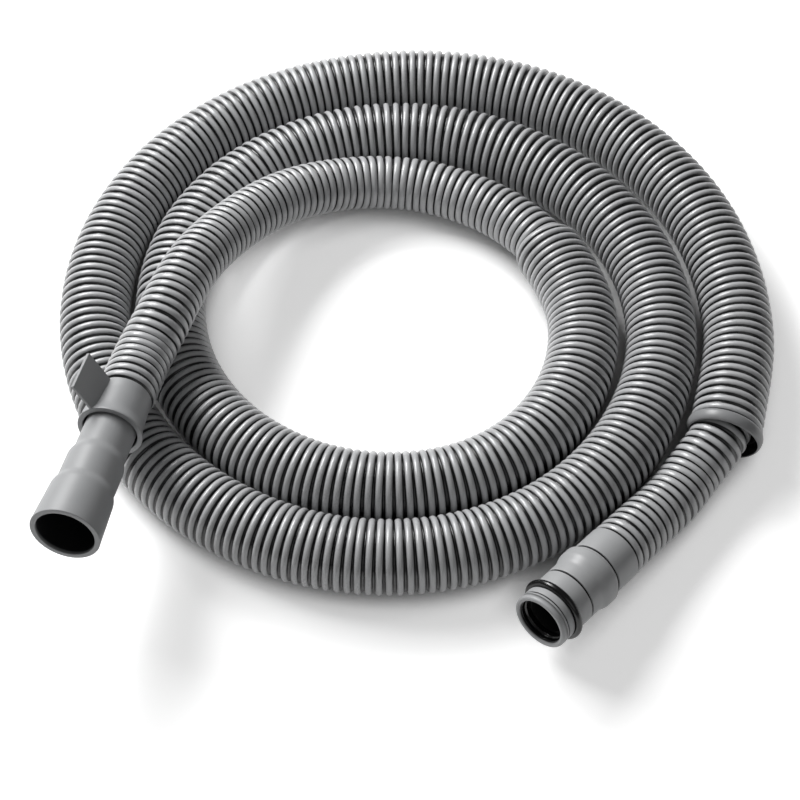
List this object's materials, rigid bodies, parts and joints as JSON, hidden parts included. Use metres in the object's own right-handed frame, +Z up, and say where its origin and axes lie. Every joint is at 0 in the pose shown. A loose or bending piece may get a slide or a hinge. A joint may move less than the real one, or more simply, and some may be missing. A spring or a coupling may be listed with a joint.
{
  "type": "coiled drain hose kit",
  "caption": "Coiled ribbed drain hose inside a larger ribbed sleeve hose, with an O-ring swivel spigot on one end and a stepped pipe cuff on the other.",
  "frame": {"origin": "on the ground, under the middle of the coiled kit's box", "axes": "+Z up; -Y towards the side on which both end fittings lie; +X towards the sleeve's open end"},
  "size_m": [0.4242, 0.437, 0.0957],
  "materials": {
    "hose_plastic": "satin extruded polyolefin",
    "fitting_plastic": "satin moulded polypropylene",
    "tail_plastic": "moulded black plastic",
    "seal_rubber": "satin black rubber",
    "clip_steel": "spring steel"
  },
  "bodies": {
    "hose": {"inner_hose": "hose_plastic", "sleeve_hose": "hose_plastic", "sleeve_end_ring": "hose_plastic", "spigot_tail": "tail_plastic", "hose_collar": "fitting_plastic", "collar_washer": "seal_rubber", "cuff_tail": "tail_plastic", "cuff_clip": "clip_steel", "cuff_seal": "seal_rubber"},
    "grip": {"grip_ring": "fitting_plastic"},
    "nose": {"spigot": "fitting_plastic", "spigot_washer": "seal_rubber", "spigot_clip": "clip_steel", "o_ring": "seal_rubber", "lip_seal": "seal_rubber"},
    "lock": {"lock_collar": "fitting_plastic"},
    "cuff": {"stepped_cuff": "fitting_plastic"}
  },
  "joints": [
    {"name": "grip_turn", "type": "hinge", "parent": "hose", "child": "grip", "pos_m": [0.0952, -0.17353, 0.02519], "axis": [-0.6665, -0.7324, 0.1392], "continuous": true},
    {"name": "spigot_swivel", "type": "hinge", "parent": "hose", "child": "nose", "pos_m": [0.08014, -0.19009, 0.02834], "axis": [-0.6665, -0.7324, 0.1392], "continuous": true},
    {"name": "collar_lock", "type": "hinge", "parent": "hose", "child": "lock", "pos_m": [-0.16037, -0.08327, 0.0612], "axis": [0.2108, 0.9668, -0.1444], "range_deg": [0, 90]},
    {"name": "cuff_swivel", "type": "hinge", "parent": "hose", "child": "cuff", "pos_m": [-0.16986, -0.12678, 0.0677], "axis": [-0.2108, -0.9668, 0.1444], "continuous": true}
  ]
}
